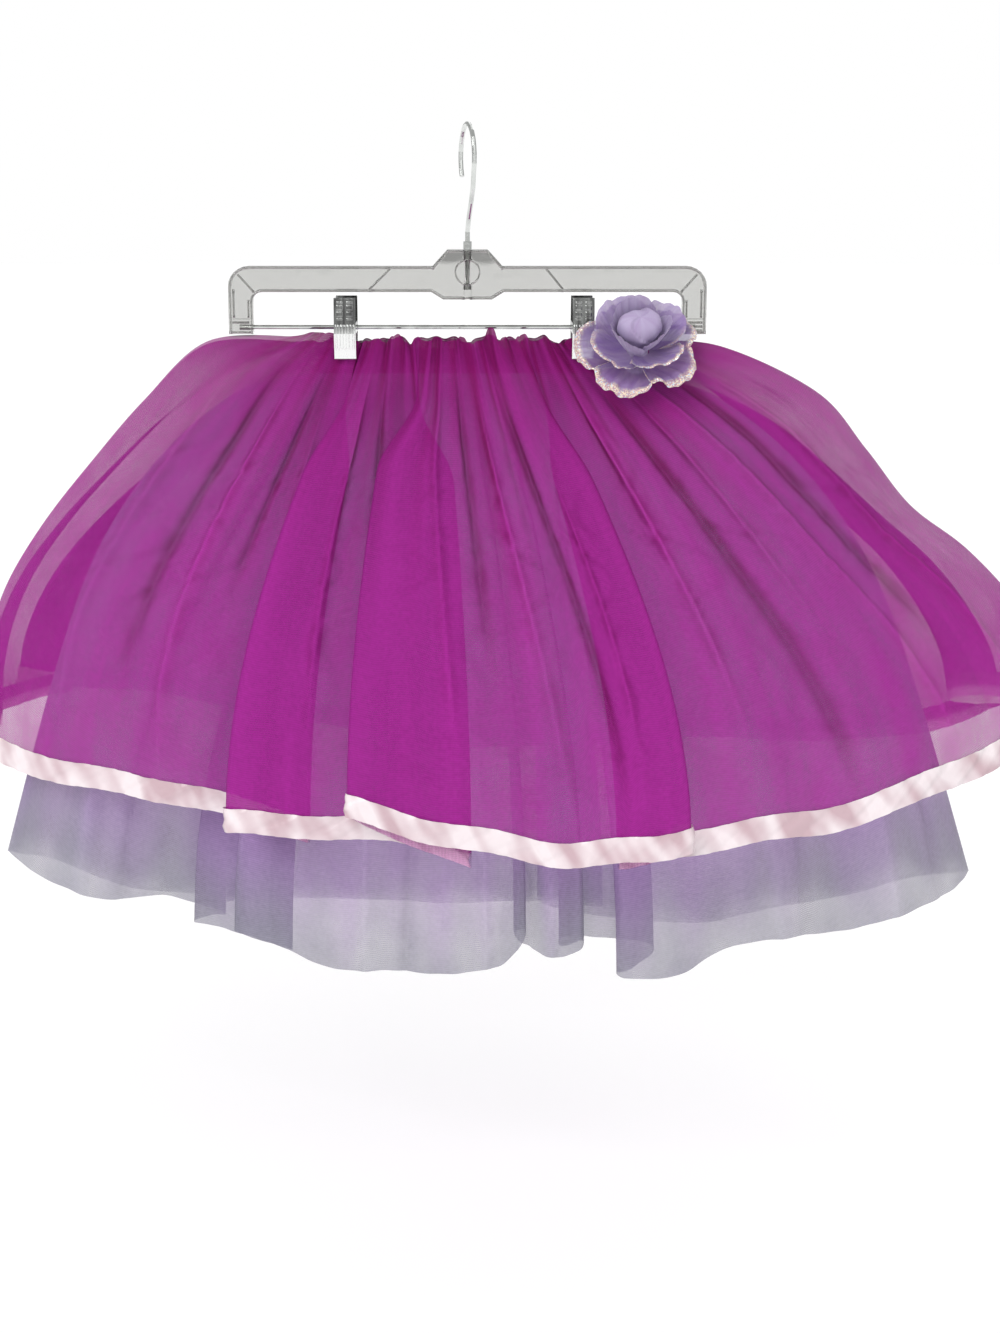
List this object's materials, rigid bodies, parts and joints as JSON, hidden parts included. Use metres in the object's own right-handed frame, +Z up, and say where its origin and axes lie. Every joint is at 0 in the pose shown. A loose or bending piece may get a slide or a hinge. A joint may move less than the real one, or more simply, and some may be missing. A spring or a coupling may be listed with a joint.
{
  "type": "tutu skirt with its clip hanger",
  "caption": "Knee-length layered tulle dance skirt with ribbon hem and organza flower, held by the waist on a clear clip hanger with a wire hook.",
  "frame": {"origin": "under the crown of the hanger's hook, where a rail holds it", "axes": "+Z up, front of the skirt towards -Y, +X to the right seen from the front"},
  "size_m": [0.8534, 0.2835, 0.638],
  "materials": {
    "outer_front": "soft tulle net",
    "outer_back": "soft tulle net",
    "under_front": "soft tulle net",
    "under_back": "soft tulle net",
    "ribbon_front": "satin",
    "ribbon_back": "satin",
    "waistband": "covered elastic",
    "hanger_frame": "clear moulded",
    "rod": "polished",
    "hook": "polished",
    "clip_left_front": "bright zinc plate",
    "clip_left_back": "bright zinc plate",
    "clip_left_spring": "bright zinc plate",
    "clip_right_front": "bright zinc plate",
    "clip_right_back": "bright zinc plate",
    "clip_right_spring": "bright zinc plate",
    "petal_outer_1": "organza with a glitter edge",
    "petal_outer_2": "organza with a glitter edge",
    "petal_outer_3": "organza with a glitter edge",
    "petal_outer_4": "organza with a glitter edge",
    "petal_outer_5": "organza with a glitter edge",
    "petal_middle_1": "organza with a glitter edge",
    "petal_middle_2": "organza with a glitter edge",
    "petal_middle_3": "organza with a glitter edge",
    "petal_middle_4": "organza with a glitter edge",
    "petal_inner_1": "organza with a glitter edge",
    "petal_inner_2": "organza with a glitter edge",
    "petal_inner_3": "organza with a glitter edge",
    "flower_bud": "organza"
  },
  "bodies": {
    "root": {"outer_front": "outer_front", "outer_back": "outer_back", "under_front": "under_front", "under_back": "under_back", "ribbon_front": "ribbon_front", "ribbon_back": "ribbon_back", "waistband": "waistband", "hanger_frame": "hanger_frame", "rod": "rod", "hook": "hook", "clip_left_front": "clip_left_front", "clip_left_back": "clip_left_back", "clip_left_spring": "clip_left_spring", "clip_right_front": "clip_right_front", "clip_right_back": "clip_right_back", "clip_right_spring": "clip_right_spring", "petal_outer_1": "petal_outer_1", "petal_outer_2": "petal_outer_2", "petal_outer_3": "petal_outer_3", "petal_outer_4": "petal_outer_4", "petal_outer_5": "petal_outer_5", "petal_middle_1": "petal_middle_1", "petal_middle_2": "petal_middle_2", "petal_middle_3": "petal_middle_3", "petal_middle_4": "petal_middle_4", "petal_inner_1": "petal_inner_1", "petal_inner_2": "petal_inner_2", "petal_inner_3": "petal_inner_3", "flower_bud": "flower_bud"}
  },
  "joints": []
}
